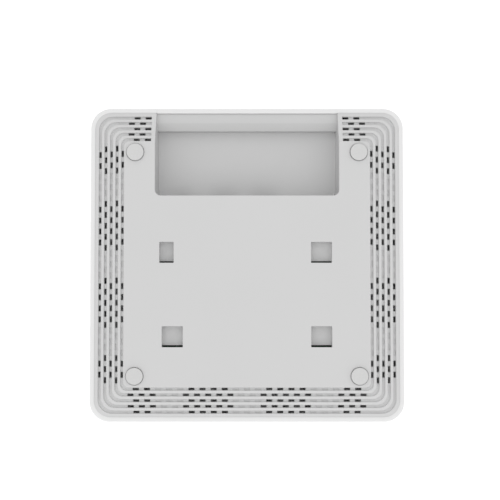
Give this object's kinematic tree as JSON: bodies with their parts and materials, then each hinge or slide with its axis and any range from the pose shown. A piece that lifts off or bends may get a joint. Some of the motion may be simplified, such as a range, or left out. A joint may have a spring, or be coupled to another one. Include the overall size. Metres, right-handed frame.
{
  "type": "ceiling access point",
  "caption": "Square ceiling-mounted wireless access point with a vented sloping border, hook pockets and a cable recess in its back.",
  "frame": {"origin": "middle of the front face, which is the lowest face as the object lies on its front cover with its mounting face up", "axes": "+Z out of the mounting face towards the ceiling, +Y towards the edge where the cable recess opens, +X to the right for someone who looks at the mounting face with the recess at the top"},
  "size_m": [0.194, 0.194, 0.035],
  "materials": {
    "cover": "smooth white moulded shell with a soft gloss",
    "casing": "light grey moulded shell with a fine spark-eroded texture",
    "foot": "matte light grey rubber",
    "steel": "bright plated steel",
    "screw": "zinc plated steel",
    "heat_sink": "extruded aluminium",
    "capacitor": "drawn aluminium can",
    "contact": "gold plated spring bronze",
    "antenna": "stamped and plated brass sheet",
    "board": "green solder mask over glass laminate",
    "chip": "black moulding compound",
    "socket": "black moulded plastic",
    "thermal_pad": "soft silicone sheet",
    "ferrite": "sintered ferrite",
    "coil": "yellow tape over the windings",
    "light_pipe": "clear polished plastic",
    "lamp": "clear lens over a diode",
    "button": "grey moulded plastic"
  },
  "bodies": {
    "housing": {"antenna_2_4ghz_left": "antenna", "antenna_2_4ghz_right": "antenna", "antenna_5ghz_left": "antenna", "antenna_5ghz_right": "antenna", "back_casing": "casing", "board_screw_lower_left": "screw", "board_screw_lower_right": "screw", "board_screw_upper_left": "screw", "board_screw_upper_right": "screw", "casing_screw_lower_left": "screw", "casing_screw_lower_right": "screw", "casing_screw_upper_left": "screw", "casing_screw_upper_right": "screw", "clock_crystal": "steel", "dc_jack_body": "socket", "dc_jack_pin": "steel", "flash_chip": "chip", "foot_lower_left": "foot", "foot_lower_right": "foot", "foot_upper_left": "foot", "foot_upper_right": "foot", "front_cover": "cover", "heat_sink": "heat_sink", "heat_sink_pin_left": "socket", "heat_sink_pin_right": "socket", "input_capacitor": "capacitor", "lan_jack_contacts": "contact", "lan_jack_insert": "socket", "lan_jack_shell": "steel", "lan_magnetics": "chip", "light_pipe": "light_pipe", "main_board": "board", "memory_chip": "chip", "output_capacitor": "capacitor", "poe_jack_contacts": "contact", "poe_jack_insert": "socket", "poe_jack_shell": "steel", "poe_magnetics": "chip", "poe_transformer": "ferrite", "poe_transformer_coil": "coil", "power_inductor": "ferrite", "processor": "chip", "radio_chip_left": "chip", "radio_chip_right": "chip", "radio_shield_left": "steel", "radio_shield_right": "steel", "reset_switch": "chip", "status_lamp": "lamp", "thermal_pad": "thermal_pad"},
    "reset_button": {"reset_button": "button"}
  },
  "joints": [
    {"name": "reset_press", "type": "slide", "parent": "housing", "child": "reset_button", "axis": [0, -1, 0], "range_m": [0, 0.0005], "stiffness_N_per_m": 400, "springref_m": -0.001}
  ]
}
